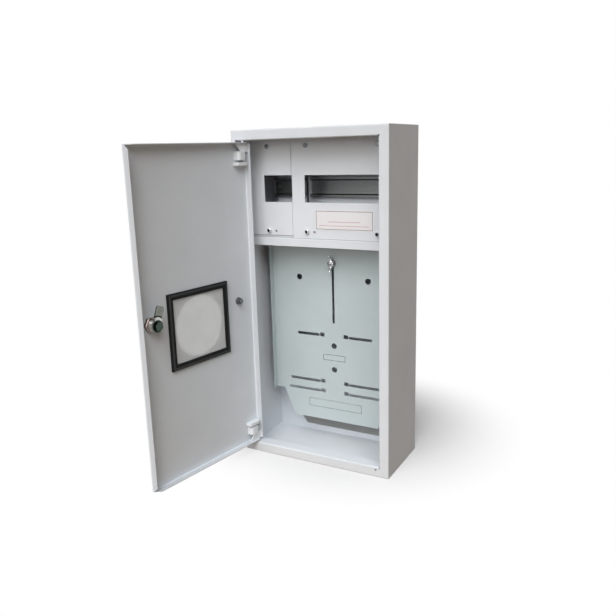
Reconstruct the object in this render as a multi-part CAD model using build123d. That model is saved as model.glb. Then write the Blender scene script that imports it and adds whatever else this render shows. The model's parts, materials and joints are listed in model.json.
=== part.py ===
import os

from build123d import *

os.makedirs("parts", exist_ok=True)

# Box outside, mm: X to the right, Y into the wall, Z up, rear face at Y = 0, middle of the box at X = Z = 0
height = 580
width = 286
depth = 132
sheet = 1.2
bend = 2.0

# Front frame: flange widths, return lips of the opening, small sealing hole
flange_left = 9
flange_right = 17
flange_top = 17
flange_bottom = 18
lip_depth = 22
side_lip_depth = 12
lip_relief = 0.8
seal_hole_r = 2.0
seal_hole_x = 119.7

# Back plate: wall holes from the box edges, and the rear cable entry with heights above the box bottom
wall_hole_r = 4.0
wall_in = 28
wall_up = 55
entry_bottom = 11.7
entry_shoulder = 37.5
entry_top = 55
entry_side = 15
entry_cut = 17.3

# Door tray
hinge_gap = 2.5
latch_gap = 4.5
door_gap = 3.0
door_lip = 13.5
lip_cut = 9.0
hinge_lip_cut = 2.0
open_deg = 99.0

# Hinges: pin place from the door edge and from the door front, pin, moulded body and knob
pin_in = 9.0
pin_back = 5.5
pin_r = 2.5
pin_fit = 0.08
pin_out = 9.0
pin_point = 1.0
boss_w = 27.0
boss_out = 13.0
boss_h = 14.3
boss_round = 5.0
base_out = 5.0
notch_w = 12.5
notch_h = 4.5
web_h = 13.5
web_top = 31.0
web_low = 18.5
web_out = 10.0
web_t = 1.6
web_lap = 1.0
knob_gap = 3.4
knob_h = 6.0
knob_start = 4.7
knob_end = 31.0
knob_lift = 0.4
knob_edge = 0.8

# Window in the door
window_drop = 22
window_off = 3
hole_r = 51
gasket_w = 132
gasket_h = 126
gasket_border = 10
gasket_t = 4.0
gasket_round = 0.8
pane_rim = 4.0
pane_t = 2.0

# Cam lock
lock_in = 23
lock_rise = 1.2
lock_r = 9.0
lock_len = 15.6
lock_flange_r = 11.5
lock_flange_t = 2.0
lock_edge = 0.8
key_slot = (1.6, 8.0, 8.0)
nut_across = 22.0
nut_t = 5.0
plug_r = 6.0
plug_fit = 0.06
cam_gap = 0.4
cam_t = 2.5
cam_w = 14.0
cam_len = 31.0
cam_tail = 9.0
cam_ledge = 13.0
cam_step = 2.0
cam_round = 5.0
cam_square = 8.0
cam_tilt = 20
cam_nut_across = 13.0
cam_nut_t = 3.5
cam_washer_r = 9.5
cam_washer_t = 1.0

# Earth stud on the door
stud_in = 35
stud_r = 3.0
stud_len = 10.0
stud_point = 0.8
earth_nut_across = 10.0
earth_nut_t = 5.0
earth_washer_r = 6.5
earth_washer_t = 1.4

# Covers, their support strip and the divider below them; drops are from the box top
cover_y = -86.0
cover_t = 1.0
cover_drop = 22.5
cover_side = 0.5
cover_gap = 1.2
left_cover_gap = 5.0
seam_x = -53.6
seam_gap = 1.4
tongue_reach = 7.0
tongue_gap = 0.3
tongue_play = 1.0
rail_drop = 99.5
win_h = 46.0
win_left_a = -108.0
win_right_a = -27.7
win_right_b = 118.3
support_drop = 36.0
support_leg = 24.0
divider_drop = 185.0
divider_h = 14.0
divider_step = 3.0
divider_foot = 14.0
upstand = 17.0
divider_bend = 0.6

# Cover screws along the top and sealing screws along the bottom
screw_left = -100.0
screw_mid = -24.0
screw_right = 106.0
top_screw_drop = 28.0
seal_screw_up = 13.0
wire_hole_dx = 13.0
wire_hole_down = 1.0
wire_hole_r = 2.2
screw_r = 2.0
screw_len = 8.0
screw_head_r = 4.0
screw_head_t = 2.6
seal_head_r = 3.6
seal_head_t = 5.5
seal_wire_r = 1.0
seal_wire_up = 2.7
screw_play = 0.3
screw_edge = 1.0
cross_part = 0.6
cross_w = 1.0
cross_deep = 1.3

# Device rails, 35 by 7.5 mm hat section, and the raised plates that carry them
rail_face = -41.0
rail_h = 35.0
rail_inner = 25.0
rail_hat = 7.5
rail_t = 1.0
rail_left_a = -115.0
rail_left_b = -52.0
rail_right_a = -42.0
rail_right_b = 122.0
plate_left_a = -113.0
plate_left_b = -52.0
plate_right_a = -48.5
plate_right_b = 122.0
plate_h = 64.0
plate_foot = 12.0
rail_screw_a = -107.0
rail_screw_b = -66.0
rail_screw_c = 110.0

# Meter panel; heights on it are parts of its height, counted down from its top edge
panel_face = -41.0
panel_in = 18.0
panel_gap = 3.0
panel_rise = 45.0
shoulder_up = 52.0
shoulder_in = 17.0
corner_in = 22.0
panel_flange = 11.0
panel_hole_parts = (0.18, 0.557, 0.695)
panel_hole_dx = 68.5
panel_hole_r = 5.4
slot_h = 5.4
slot_parts = (0.501, 0.773, 0.83)
slot_short = 75.5
slot_long = 97.0
slot_start = 30.0
entry_in = 19.5
entry_w = 9.0
entry_up = 4.8
neck_h = 1.8
neck_lap = 1.0
knock_parts = (0.626, 0.905)
small_knock_w = 45.0
small_knock_h = 11.6
large_knock_w = 109.0
large_knock_h = 16.4
knock_slit = 1.0
knock_bridge = 3.0
support_x = 112.0
support_w = 18.0
support_parts = (0.024, 0.805)

# Meter hanger in the vertical slot
bolt_part = 0.092
bolt_slot_part = 0.428
bolt_r = 2.0
bolt_play = 0.3
bolt_head_r = 5.0
bolt_head_t = 2.4
bolt_len = 15.0
washer_r = 6.5
washer_t = 1.2
spring_r = 4.2
spring_t = 1.3
nut_hub_r = 6.2
nut_hub_t = 7.5
nut_taper = 1.2
wing_span = 31.0
wing_t = 3.0
wing_rise = 5.0
wing_inset = 2.0
wing_round = 4.0
nut_fit = 0.06


# Shapes used again and again
def block(x0, x1, y0, y1, z0, z1):
    return Pos((x0 + x1) / 2, (y0 + y1) / 2, (z0 + z1) / 2) * Box(x1 - x0, y1 - y0, z1 - z0)


def rod_x(r, y, z, x0, x1):
    return Pos((x0 + x1) / 2, y, z) * Rot(0, 90, 0) * Cylinder(r, x1 - x0)


def rod_y(r, x, z, y0, y1):
    return Pos(x, (y0 + y1) / 2, z) * Rot(90, 0, 0) * Cylinder(r, y1 - y0)


def rod_z(r, x, y, z0, z1):
    return Pos(x, y, (z0 + z1) / 2) * Cylinder(r, z1 - z0)


def hex_y(across, x, z, y0, y1):
    outline = RegularPolygon(across / 2, 6, major_radius=False)
    return extrude(Pos(x, y1, z) * (Plane.XZ * outline), y1 - y0, dir=(0, -1, 0))


def prism_x(points, x0, x1):
    return extrude(Pos(x0, 0, 0) * (Plane.YZ * Polygon(*points, align=None)), x1 - x0, dir=(1, 0, 0))


def prism_y(points, y0, y1):
    return extrude(Pos(0, y1, 0) * (Plane.XZ * Polygon(*points, align=None)), y1 - y0, dir=(0, -1, 0))


def prism_z(points, z0, z1):
    return extrude(Pos(0, 0, z0) * Polygon(*points, align=None), z1 - z0, dir=(0, 0, 1))


def slot_x(x0, x1, z, tall, y0, y1):
    r = tall / 2
    middle = block(x0 + r, x1 - r, y0, y1, z - r, z + r)
    return middle + rod_y(r, x0 + r, z, y0, y1) + rod_y(r, x1 - r, z, y0, y1)


def mirror_x(points):
    return [(-x, z) for x, z in reversed(points)]


# Edges of a shape that lie in one plane across an axis
def edges_at(shape, axis, place):
    return shape.edges().filter_by_position(axis, place - 0.01, place + 0.01)


# Screw with a cross recess, head on the -Y side of the seat
def screw(x, z, seat, head_r, head_t):
    face = seat - head_t
    head = rod_y(head_r, x, z, face, seat)
    head = chamfer(edges_at(head, Axis.Y, face), screw_edge)
    arm = head_r * cross_part
    half = cross_w / 2
    recess_a = block(x - arm, x + arm, face, face + cross_deep, z - half, z + half)
    recess_b = block(x - half, x + half, face, face + cross_deep, z - arm, z + arm)
    return head - recess_a - recess_b + rod_y(screw_r, x, z, seat, seat + screw_len)


# Edges of the box and of the opening
left = -width / 2
right = width / 2
top = height / 2
bottom = -height / 2
front = -depth
open_left = left + flange_left
open_right = right - flange_right
open_top = top - flange_top
open_bottom = bottom + flange_bottom

# Places of the screws along the covers and the rails
screw_xs = (screw_left, screw_mid, screw_right)
rail_screw_xs = (rail_screw_a, rail_screw_b, rail_screw_c)

# Heights of the covers, the divider and the panel
cover_top = top - cover_drop
support_low = top - support_drop
top_screw_z = top - top_screw_drop
rail_z = top - rail_drop
win_low = rail_z - win_h / 2
win_high = rail_z + win_h / 2
divider_top = top - divider_drop
divider_low = divider_top - divider_h
cover_low_right = divider_top + cover_gap
cover_low_left = divider_top + left_cover_gap
seal_screw_z = divider_top + seal_screw_up
wire_hole_z = seal_screw_z - wire_hole_down
panel_half = width / 2 - panel_in
panel_top = divider_low - panel_gap
panel_low = bottom + panel_rise
panel_h = panel_top - panel_low
panel_shoulder = panel_low + shoulder_up
shoulder_half = panel_half - shoulder_in
panel_low_half = shoulder_half - corner_in
bolt_z = panel_top - bolt_part * panel_h
bolt_slot_low = panel_top - bolt_slot_part * panel_h

# Edges of the closed door and the hinge line
door_left = open_left + hinge_gap
door_right = open_right - latch_gap
door_top = open_top - door_gap
door_bottom = open_bottom + door_gap
door_mid = (door_left + door_right) / 2
door_mid_z = (door_bottom + door_top) / 2
window_x = door_mid + window_off
window_z = door_mid_z - window_drop
lock_z = door_mid_z + lock_rise
stud_z = door_mid_z
skin = front + sheet
lip_edge = front + door_lip
pin_x = door_left + pin_in
pin_y = front + pin_back
swing = Pos(pin_x, pin_y, 0) * Rot(0, 0, -open_deg) * Pos(-pin_x, -pin_y, 0)

# Shell: four walls and the front flange, folded round the front edges
outer = block(left, right, front, 0, bottom, top)
outer = fillet(edges_at(outer, Axis.Y, front), bend)
inner = block(left + sheet, right - sheet, front + sheet, 1, bottom + sheet, top - sheet)
inner = fillet(edges_at(inner, Axis.Y, front + sheet), bend - sheet)
cut_z = (open_bottom - bend, open_top + bend)
opening = block(open_left, open_right + bend, front - 1, front + sheet + 1, cut_z[0], cut_z[1])
shell = outer - inner - opening

# Shell: return lips of the opening, each with its bend, relieved at the corners
lip_x0 = open_left + lip_relief
lip_x1 = open_right - lip_relief
lip_z0 = open_bottom + lip_relief
lip_z1 = open_top - lip_relief
top_bend = rod_x(bend, front + bend, open_top + bend, lip_x0, lip_x1)
top_bend = top_bend - rod_x(bend - sheet, front + bend, open_top + bend, lip_x0, lip_x1)
top_bend = top_bend & block(lip_x0, lip_x1, front, front + bend, open_top, open_top + bend)
top_lip = block(lip_x0, lip_x1, front + bend, front + lip_depth, open_top, open_top + sheet)
low_bend = rod_x(bend, front + bend, open_bottom - bend, lip_x0, lip_x1)
low_bend = low_bend - rod_x(bend - sheet, front + bend, open_bottom - bend, lip_x0, lip_x1)
low_bend = low_bend & block(lip_x0, lip_x1, front, front + bend, open_bottom - bend, open_bottom)
low_lip = block(lip_x0, lip_x1, front + bend, front + lip_depth, open_bottom - sheet, open_bottom)
side_bend = rod_z(bend, open_right + bend, front + bend, lip_z0, lip_z1)
side_bend = side_bend - rod_z(bend - sheet, open_right + bend, front + bend, lip_z0, lip_z1)
side_bend = side_bend & block(open_right, open_right + bend, front, front + bend, lip_z0, lip_z1)
side_lip = block(open_right, open_right + sheet, front + bend, front + side_lip_depth, lip_z0, lip_z1)
shell = shell + top_bend + top_lip + low_bend + low_lip + side_bend + side_lip

# Shell: hinge holes in the lips and the sealing hole in the lower flange
shell = shell - rod_z(pin_r + pin_fit, pin_x, pin_y, open_top - bend, open_top + 2 * bend)
shell = shell - rod_z(pin_r + pin_fit, pin_x, pin_y, open_bottom - 2 * bend, open_bottom + bend)
shell = shell - rod_y(seal_hole_r, seal_hole_x, open_bottom - bend - 3, front - 1, front + sheet + 1)
export_step(shell, "parts/shell.step")

# Back plate between the walls, with wall holes and the chamfered cable entry
entry_half = right - wall_in - entry_side
back = block(left + sheet, right - sheet, -sheet, 0, bottom + sheet, top - sheet)
half_entry = [(entry_half - entry_cut, bottom + entry_bottom), (entry_half, bottom + entry_shoulder)]
half_entry = half_entry + [(entry_half, bottom + entry_top)]
back = back - prism_y(half_entry + mirror_x(half_entry), -sheet - 1, 1)
for hole_x in (left + wall_in, right - wall_in):
    for hole_z in (bottom + wall_up, top - wall_up):
        back = back - rod_y(wall_hole_r, hole_x, hole_z, -sheet - 1, 1)
export_step(back, "parts/back_plate.step")

# Door: folded tray with the lip ends cut back at the corners
tray = block(door_left, door_right, front, lip_edge, door_bottom, door_top)
tray = fillet(edges_at(tray, Axis.Y, front), bend)
in_z = (door_bottom + sheet, door_top - sheet)
hollow = block(door_left + sheet, door_right - sheet, skin, lip_edge + 1, in_z[0], in_z[1])
hollow = fillet(edges_at(hollow, Axis.Y, skin), bend - sheet)
tray = tray - hollow
cut_y = front + bend + 1.5
over = lip_edge + 1
side_cuts = [(door_left - 1, door_left + sheet + 0.01, hinge_lip_cut)]
side_cuts = side_cuts + [(door_right - sheet - 0.01, door_right + 1, lip_cut)]
for edge_z, inward in ((door_top, -1), (door_bottom, 1)):
    for x0, x1, cut in side_cuts:
        ends = [(cut_y, edge_z - inward), (over, edge_z - inward), (over, edge_z + inward * cut)]
        tray = tray - prism_x(ends + [(cut_y, edge_z)], x0, x1)
for edge_x, inward in ((door_left, 1), (door_right, -1)):
    ends = [(edge_x - inward, cut_y), (edge_x - inward, over), (edge_x + inward * lip_cut, over)]
    ends = ends + [(edge_x, cut_y)]
    tray = tray - prism_z(ends, door_top - sheet - 0.01, door_top + 1)
    tray = tray - prism_z(ends, door_bottom - 1, door_bottom + sheet + 0.01)

# Door: window hole, lock hole and the holes for the hinge pins
lock_x = door_right - lock_in
tray = tray - rod_y(hole_r, window_x, window_z, front - 1, skin + 1)
tray = tray - rod_y(lock_r, lock_x, lock_z, front - 1, skin + 1)
tray = tray - rod_z(pin_r, pin_x, pin_y, door_top - 3, door_top + 1)
tray = tray - rod_z(pin_r, pin_x, pin_y, door_bottom - 1, door_bottom + 3)
export_step(swing * tray, "parts/door.step")


# Plate on the inside of the door, round the middle of the window
def window_plate(wide, tall, y0, y1):
    a = wide / 2
    b = tall / 2
    return block(window_x - a, window_x + a, y0, y1, window_z - b, window_z + b)


# Window pane and the rubber gasket that grips its edge
pane = window_plate(gasket_w - 2 * pane_rim, gasket_h - 2 * pane_rim, skin, skin + pane_t)
export_step(swing * pane, "parts/window_pane.step")
gasket_face = skin + gasket_t
gasket = window_plate(gasket_w, gasket_h, skin, gasket_face)
gasket = fillet(edges_at(gasket, Axis.Y, gasket_face), gasket_round)
inside = window_plate(gasket_w - 2 * gasket_border, gasket_h - 2 * gasket_border, skin - 1, gasket_face + 1)
gasket = gasket - inside - pane
export_step(swing * gasket, "parts/window_gasket.step")


# Block between two heights given in either order
def between(x0, x1, y0, y1, za, zb):
    return block(x0, x1, y0, y1, min(za, zb), max(za, zb))


# Hinge body: boss beside the pin, a low base under the pin and a thin gusset web up to the door lip
def hinge_body(side):
    edge = door_top - sheet if side > 0 else door_bottom + sheet
    web_end = edge - side * web_h
    boss_end = web_end - side * boss_h
    notch_z = boss_end + side * notch_h
    x0 = door_left + sheet
    x1 = door_left + boss_w
    face = front + boss_out
    boss = between(door_left + notch_w, x1, skin, face, web_end, boss_end)
    corner = edges_at(boss.edges().filter_by(Axis.Z).group_by(Axis.X)[-1], Axis.Y, face)
    boss = fillet(corner, boss_round)
    boss = boss + between(x0, door_left + notch_w, skin, front + base_out, web_end, notch_z)
    low = web_end - side * web_lap
    points = [(x0, edge), (door_left + web_top, edge), (door_left + web_low, low), (x0, low)]
    web = prism_y(points, front + web_out - web_t, front + web_out)
    body = (boss + web) & hollow
    return body - rod_z(pin_r, pin_x, pin_y, min(edge, boss_end) - 1, max(edge, boss_end) + 1)


# Hinge pin: through the body and the lip hole, with a moulded knob on its tail
def hinge_pin(side):
    tip = door_top + pin_out if side > 0 else door_bottom - pin_out
    edge = door_top - sheet if side > 0 else door_bottom + sheet
    knob_top = edge - side * (web_h + boss_h + knob_gap)
    tail = knob_top - side * knob_h
    shaft = rod_z(pin_r, pin_x, pin_y, min(tip, tail), max(tip, tail))
    shaft = chamfer(edges_at(shaft, Axis.Z, tip), pin_point)
    x0 = door_left + knob_start
    x1 = door_left + knob_end
    face = front + boss_out
    knob = between(x0, x1, skin + knob_lift, face, knob_top, tail)
    knob = fillet(edges_at(knob.edges().filter_by(Axis.Z), Axis.Y, face), boss_round)
    knob = chamfer(edges_at(knob, Axis.Z, tail), knob_edge)
    return shaft + knob


export_step(swing * hinge_body(1), "parts/hinge_body_top.step")
export_step(swing * hinge_body(-1), "parts/hinge_body_bottom.step")
export_step(swing * hinge_pin(1), "parts/hinge_pin_top.step")
export_step(swing * hinge_pin(-1), "parts/hinge_pin_bottom.step")

# Lock: housing with its outside flange, hexagon nut
lock_front = front - lock_flange_t
lock_end = front + lock_len
housing = rod_y(lock_flange_r, lock_x, lock_z, lock_front, front)
housing = chamfer(edges_at(housing, Axis.Y, lock_front), lock_edge)
housing = housing + rod_y(lock_r, lock_x, lock_z, front, lock_end)
housing = housing - rod_y(plug_r + plug_fit, lock_x, lock_z, lock_front - 1, lock_end + 1)
export_step(swing * housing, "parts/lock_housing.step")
nut_face = skin + nut_t
lock_nut = hex_y(nut_across, lock_x, lock_z, skin, nut_face)
lock_nut = chamfer(edges_at(lock_nut, Axis.Y, nut_face), lock_edge)
lock_nut = lock_nut - rod_y(lock_r, lock_x, lock_z, skin - 1, nut_face + 1)
export_step(swing * lock_nut, "parts/lock_nut.step")

# Lock: plug with key slot and square end
turn = Pos(lock_x, 0, lock_z) * Rot(0, -cam_tilt, 0) * Pos(-lock_x, 0, -lock_z)
cam_y0 = lock_end + cam_gap
cam_y1 = cam_y0 + cam_t
square = cam_square / 2
slot_half_w = key_slot[0] / 2
slot_half_h = key_slot[1] / 2
plug = rod_y(plug_r, lock_x, lock_z, lock_front, cam_y0)
plug = plug + block(lock_x - square, lock_x + square, cam_y0, cam_y1, lock_z - square, lock_z + square)
key_x = (lock_x - slot_half_w, lock_x + slot_half_w)
key_z = (lock_z - slot_half_h, lock_z + slot_half_h)
plug = plug - block(key_x[0], key_x[1], lock_front - 1, lock_front + key_slot[2], key_z[0], key_z[1])
export_step(swing * turn * plug, "parts/lock_plug.step")

# Lock: cam lever stepped back towards the door above its hub, cam screw with washer
cam_x = (lock_x - cam_w / 2, lock_x + cam_w / 2)
cam_low = lock_z - cam_tail
ledge = lock_z + cam_ledge
hub = block(cam_x[0], cam_x[1], cam_y0, cam_y1, cam_low, ledge)
hub = fillet(edges_at(hub.edges().filter_by(Axis.Y), Axis.Z, cam_low), cam_round)
hub = hub - block(lock_x - square, lock_x + square, cam_y0 - 1, cam_y1 + 1, lock_z - square, lock_z + square)
tab_low = ledge - cam_t
tab = block(cam_x[0], cam_x[1], cam_y0 - cam_step, cam_y1 - cam_step, tab_low, lock_z + cam_len)
tab = chamfer(edges_at(tab.edges().filter_by(Axis.Y), Axis.Z, lock_z + cam_len), cam_t)
export_step(swing * turn * (hub + tab), "parts/lock_cam.step")
cam_seat = cam_y1 + cam_washer_t
cam_screw = hex_y(cam_nut_across, lock_x, lock_z, cam_seat, cam_seat + cam_nut_t)
cam_screw = cam_screw + rod_y(cam_washer_r, lock_x, lock_z, cam_y1, cam_seat)
export_step(swing * turn * cam_screw, "parts/cam_screw.step")

# Earth stud with washer and nut
stud_x = door_left + stud_in
stud = rod_y(stud_r, stud_x, stud_z, skin, skin + stud_len)
stud = chamfer(edges_at(stud, Axis.Y, skin + stud_len), stud_point)
export_step(swing * stud, "parts/earth_stud.step")
earth_seat = skin + earth_washer_t
earth_washer = rod_y(earth_washer_r, stud_x, stud_z, skin, earth_seat)
earth_washer = earth_washer - rod_y(stud_r, stud_x, stud_z, skin - 1, earth_seat + 1)
export_step(swing * earth_washer, "parts/earth_washer.step")
earth_nut = hex_y(earth_nut_across, stud_x, stud_z, earth_seat, earth_seat + earth_nut_t)
earth_nut = earth_nut - rod_y(stud_r, stud_x, stud_z, earth_seat - 1, earth_seat + earth_nut_t + 1)
export_step(swing * earth_nut, "parts/earth_nut.step")

# Support strip under the box top, behind the upper edge of the covers
wall_x = (left + sheet, right - sheet)
cover_back = cover_y + cover_t
bracing = cover_back + sheet
strip = block(wall_x[0], wall_x[1], cover_back, bracing, support_low, top - sheet)
strip_back = cover_back + support_leg
strip = strip + block(wall_x[0], wall_x[1], cover_back, strip_back, top - 2 * sheet, top - sheet)
for x in screw_xs:
    strip = strip - rod_y(screw_r, x, top_screw_z, cover_back - 1, bracing + 1)
export_step(strip, "parts/cover_support.step")

# Divider: upstand behind the covers, stepped front bar, shelf back to the back plate
bar_y = cover_back - divider_step
divider = block(wall_x[0], wall_x[1], cover_back, bracing, divider_top - sheet, divider_top + upstand)
divider = divider + block(wall_x[0], wall_x[1], bar_y, bracing, divider_top - sheet, divider_top)
divider = divider + block(wall_x[0], wall_x[1], bar_y, bar_y + sheet, divider_low, divider_top)
divider = divider + block(wall_x[0], wall_x[1], bar_y, -sheet, divider_low, divider_low + sheet)
divider = divider + block(wall_x[0], wall_x[1], -2 * sheet, -sheet, divider_low, divider_low + divider_foot)
divider = fillet(edges_at(divider.edges().filter_by(Axis.X), Axis.Y, bar_y), divider_bend)
for x in screw_xs:
    divider = divider - rod_y(screw_r, x, seal_screw_z, cover_back - 1, bracing + 1)
    divider = divider - rod_y(wire_hole_r, x + wire_hole_dx, wire_hole_z, cover_back - 1, bracing + 1)
export_step(divider, "parts/divider.step")

# Left cover, its window for three device places open to the seam
cover_x = (wall_x[0] + cover_side, wall_x[1] - cover_side)
cover_left = block(cover_x[0], seam_x, cover_y, cover_back, cover_low_left, cover_top)
cover_left = cover_left - block(win_left_a, seam_x + 1, cover_y - 1, cover_back + 1, win_low, win_high)

# Right cover with its window for eight device places
seam_edge = seam_x + seam_gap
cover_right = block(seam_edge, cover_x[1], cover_y, cover_back, cover_low_right, cover_top)
cover_right = cover_right - block(win_right_a, win_right_b, cover_y - 1, cover_back + 1, win_low, win_high)

# Right cover: tongues behind the left one, above and below the window
tongue_y = cover_back + tongue_gap
tongue_end = tongue_y + cover_t
tongue_low = divider_top + upstand + tongue_play
tongue_high = support_low - tongue_play
for z0, z1 in ((tongue_low, win_low), (win_high, tongue_high)):
    step = block(seam_edge, seam_edge + cover_t, cover_y, tongue_end, z0, z1)
    tongue = block(seam_x - tongue_reach, seam_edge + cover_t, tongue_y, tongue_end, z0, z1)
    cover_right = cover_right + step + tongue

# Covers: holes for the screws and for the sealing wire
clearance_r = screw_r + screw_play
for x in screw_xs:
    holes = [rod_y(clearance_r, x, top_screw_z, cover_y - 1, cover_back + 1)]
    holes = holes + [rod_y(clearance_r, x, seal_screw_z, cover_y - 1, cover_back + 1)]
    holes = holes + [rod_y(wire_hole_r, x + wire_hole_dx, wire_hole_z, cover_y - 1, cover_back + 1)]
    if x < seam_x:
        cover_left = cover_left - holes
    else:
        cover_right = cover_right - holes
export_step(cover_left, "parts/cover_left.step")
export_step(cover_right, "parts/cover_right.step")

# Cover screws and the taller sealing screws, each with a cross hole for the wire
top_screws = [screw(x, top_screw_z, cover_y, screw_head_r, screw_head_t) for x in screw_xs]
export_step(Compound(top_screws), "parts/cover_screws.step")
seal_screws = []
for x in screw_xs:
    wire = rod_x(seal_wire_r, cover_y - seal_wire_up, seal_screw_z, x - 2 * seal_head_r, x + 2 * seal_head_r)
    seal_screws.append(screw(x, seal_screw_z, cover_y, seal_head_r, seal_head_t) - wire)
export_step(Compound(seal_screws), "parts/seal_screws.step")


# Device rail, hat section
def rail(x0, x1):
    low = rail_z - rail_h / 2
    high = rail_z + rail_h / 2
    inner_low = rail_z - rail_inner / 2
    inner_high = rail_z + rail_inner / 2
    rear = rail_face + rail_hat
    hat = block(x0, x1, rail_face, rail_face + rail_t, low, inner_low)
    hat = hat + block(x0, x1, rail_face, rail_face + rail_t, inner_high, high)
    hat = hat + block(x0, x1, rail_face, rear, inner_low - rail_t, inner_low)
    hat = hat + block(x0, x1, rail_face, rear, inner_high, inner_high + rail_t)
    hat = hat + block(x0, x1, rear - rail_t, rear, inner_low - rail_t, inner_high + rail_t)
    for x in rail_screw_xs:
        if x0 < x < x1:
            hat = hat - rod_y(clearance_r, x, rail_z, rail_face, rear + 1)
    return hat


export_step(rail(rail_left_a, rail_left_b), "parts/rail_left.step")
export_step(rail(rail_right_a, rail_right_b), "parts/rail_right.step")

# Raised plates between the back plate and the rails, and the rail screws
rail_rear = rail_face + rail_hat
plates = []
for x0, x1 in ((plate_left_a, plate_left_b), (plate_right_a, plate_right_b)):
    low = rail_z - plate_h / 2
    high = rail_z + plate_h / 2
    plate = block(x0, x1, rail_rear, rail_rear + sheet, low, high)
    plate = plate + block(x0, x1, rail_rear, -sheet, low, low + sheet)
    plate = plate + block(x0, x1, rail_rear, -sheet, high - sheet, high)
    plate = plate + block(x0, x1, -2 * sheet, -sheet, low - plate_foot, low + sheet)
    plate = plate + block(x0, x1, -2 * sheet, -sheet, high - sheet, high + plate_foot)
    for x in rail_screw_xs:
        if x0 < x < x1:
            plate = plate - rod_y(screw_r, x, rail_z, rail_rear - 1, rail_rear + sheet + 1)
    plates.append(plate)
export_step(Compound(plates), "parts/rail_plates.step")
rail_seat = rail_rear - rail_t
rail_screws = [screw(x, rail_z, rail_seat, screw_head_r, screw_head_t) for x in rail_screw_xs]
export_step(Compound(rail_screws), "parts/rail_screws.step")

# Meter panel: cut-back lower corners and forward side flanges
panel_back = panel_face + sheet
half_outline = [(panel_half, panel_top), (panel_half, panel_shoulder), (shoulder_half, panel_shoulder)]
half_outline = half_outline + [(panel_low_half, panel_low)]
panel = prism_y(half_outline + mirror_x(half_outline), panel_face, panel_back)
for x0, x1 in ((-panel_half, sheet - panel_half), (panel_half - sheet, panel_half)):
    panel = panel + block(x0, x1, panel_face - panel_flange, panel_back, panel_shoulder, panel_top)
y0 = panel_face - 1
y1 = panel_back + 1
panel_holes = [(side * panel_hole_dx, panel_hole_parts[0]) for side in (-1, 1)]
panel_holes = panel_holes + [(0, part) for part in panel_hole_parts[1:]]
for x, part in panel_holes:
    panel = panel - rod_y(panel_hole_r, x, panel_top - part * panel_h, y0, y1)

# Meter panel: vertical hanger slot
slot_half = bolt_r + bolt_play
panel = panel - block(-slot_half, slot_half, y0, y1, bolt_slot_low, bolt_z)
panel = panel - rod_y(slot_half, 0, bolt_z, y0, y1)

# Meter panel: fixing slots, each joined by a narrow neck to its key entry near the middle
for part, end in zip(slot_parts, (slot_short, slot_long, slot_long)):
    z = panel_top - part * panel_h
    key_low = z - slot_h / 2
    key_end = entry_in + entry_w
    for side in (-1, 1):
        x0, x1 = sorted((side * slot_start, side * end))
        k0, k1 = sorted((side * entry_in, side * key_end))
        n0, n1 = sorted((side * (key_end - neck_lap), side * (slot_start + neck_lap)))
        panel = panel - slot_x(x0, x1, z, slot_h, y0, y1)
        panel = panel - block(k0, k1, y0, y1, key_low, z + entry_up)
        panel = panel - block(n0, n1, y0, y1, z - neck_h / 2, z + neck_h / 2)

# Meter panel: knock-outs, each held by a bridge in the middle of its long sides
knock_sizes = ((small_knock_w, small_knock_h), (large_knock_w, large_knock_h))
for part, (wide, tall) in zip(knock_parts, knock_sizes):
    z = panel_top - part * panel_h
    a = wide / 2
    b = tall / 2
    slit = block(-a, a, y0, y1, z - b, z + b)
    slit = slit - block(knock_slit - a, a - knock_slit, y0, y1, z - b + knock_slit, z + b - knock_slit)
    panel = panel - (slit - block(-knock_bridge / 2, knock_bridge / 2, y0, y1, z - b, z + b))
export_step(panel, "parts/meter_panel.step")

# Panel supports: one folded Z strip on each side, from the back plate to the panel
supports = []
for side in (-1, 1):
    web = side * support_x
    z0 = panel_top - support_parts[1] * panel_h
    z1 = panel_top - support_parts[0] * panel_h
    near = sorted((web, web - side * support_w))
    far = sorted((web, web + side * support_w))
    strip_z = block(near[0], near[1], panel_back, panel_back + sheet, z0, z1)
    strip_z = strip_z + block(web - sheet / 2, web + sheet / 2, panel_back, -sheet, z0, z1)
    strip_z = strip_z + block(far[0], far[1], -2 * sheet, -sheet, z0, z1)
    supports.append(strip_z)
export_step(Compound(supports), "parts/panel_supports.step")

# Meter hanger: bolt with its head behind the panel, flat and spring washers
head_y = panel_back + bolt_play
bolt = rod_y(bolt_head_r, 0, bolt_z, head_y, head_y + bolt_head_t)
bolt = chamfer(edges_at(bolt, Axis.Y, head_y + bolt_head_t), screw_edge)
bolt_tip = head_y - bolt_len
bolt = bolt + rod_y(bolt_r, 0, bolt_z, bolt_tip, head_y)
export_step(bolt, "parts/hanger_bolt.step")
washer_y = panel_face - bolt_play
flat = rod_y(washer_r, 0, bolt_z, washer_y - washer_t, washer_y)
flat = flat - rod_y(bolt_r, 0, bolt_z, washer_y - washer_t - 1, washer_y + 1)
spring_y = washer_y - washer_t
ring = rod_y(spring_r, 0, bolt_z, spring_y - spring_t, spring_y)
ring = ring - rod_y(bolt_r, 0, bolt_z, spring_y - spring_t - 1, spring_y + 1)
export_step(Compound([flat, ring]), "parts/hanger_washers.step")

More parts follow.
